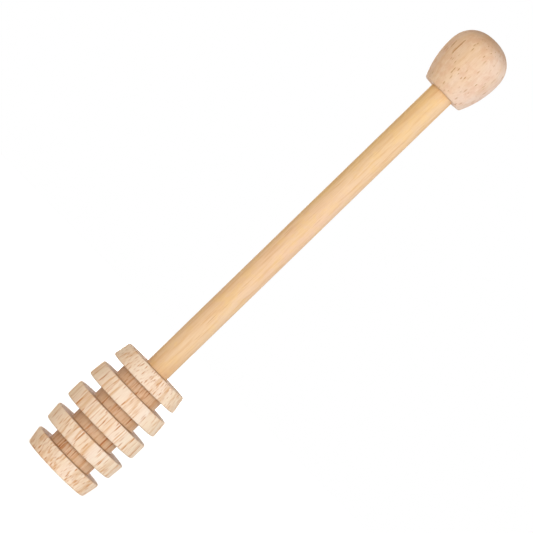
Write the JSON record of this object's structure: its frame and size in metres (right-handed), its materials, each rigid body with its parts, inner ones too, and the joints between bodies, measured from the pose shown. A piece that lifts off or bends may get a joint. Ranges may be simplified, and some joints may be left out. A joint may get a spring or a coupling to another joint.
{
  "type": "honey dipper",
  "caption": "Turned wooden honey dipper: a barrel-shaped head cut with ring grooves and a rounded knob, glued on the ends of a plain dowel handle.",
  "frame": {"origin": "centre of the flat end face of the grooved head, on which the dipper stands", "axes": "+Z along the common axis of revolution, from the head through the handle to the knob; X and Y are free, because every piece is turned"},
  "size_m": [0.024, 0.024, 0.1602],
  "materials": {
    "head_wood": "sanded bare pale hardwood with open pores",
    "handle_wood": "smooth sanded fine-grained dowel",
    "knob_wood": "sanded bare pale hardwood with end grain on the dome"
  },
  "bodies": {
    "root": {"dipper_head": "head_wood", "handle": "handle_wood", "knob": "knob_wood"}
  },
  "joints": []
}
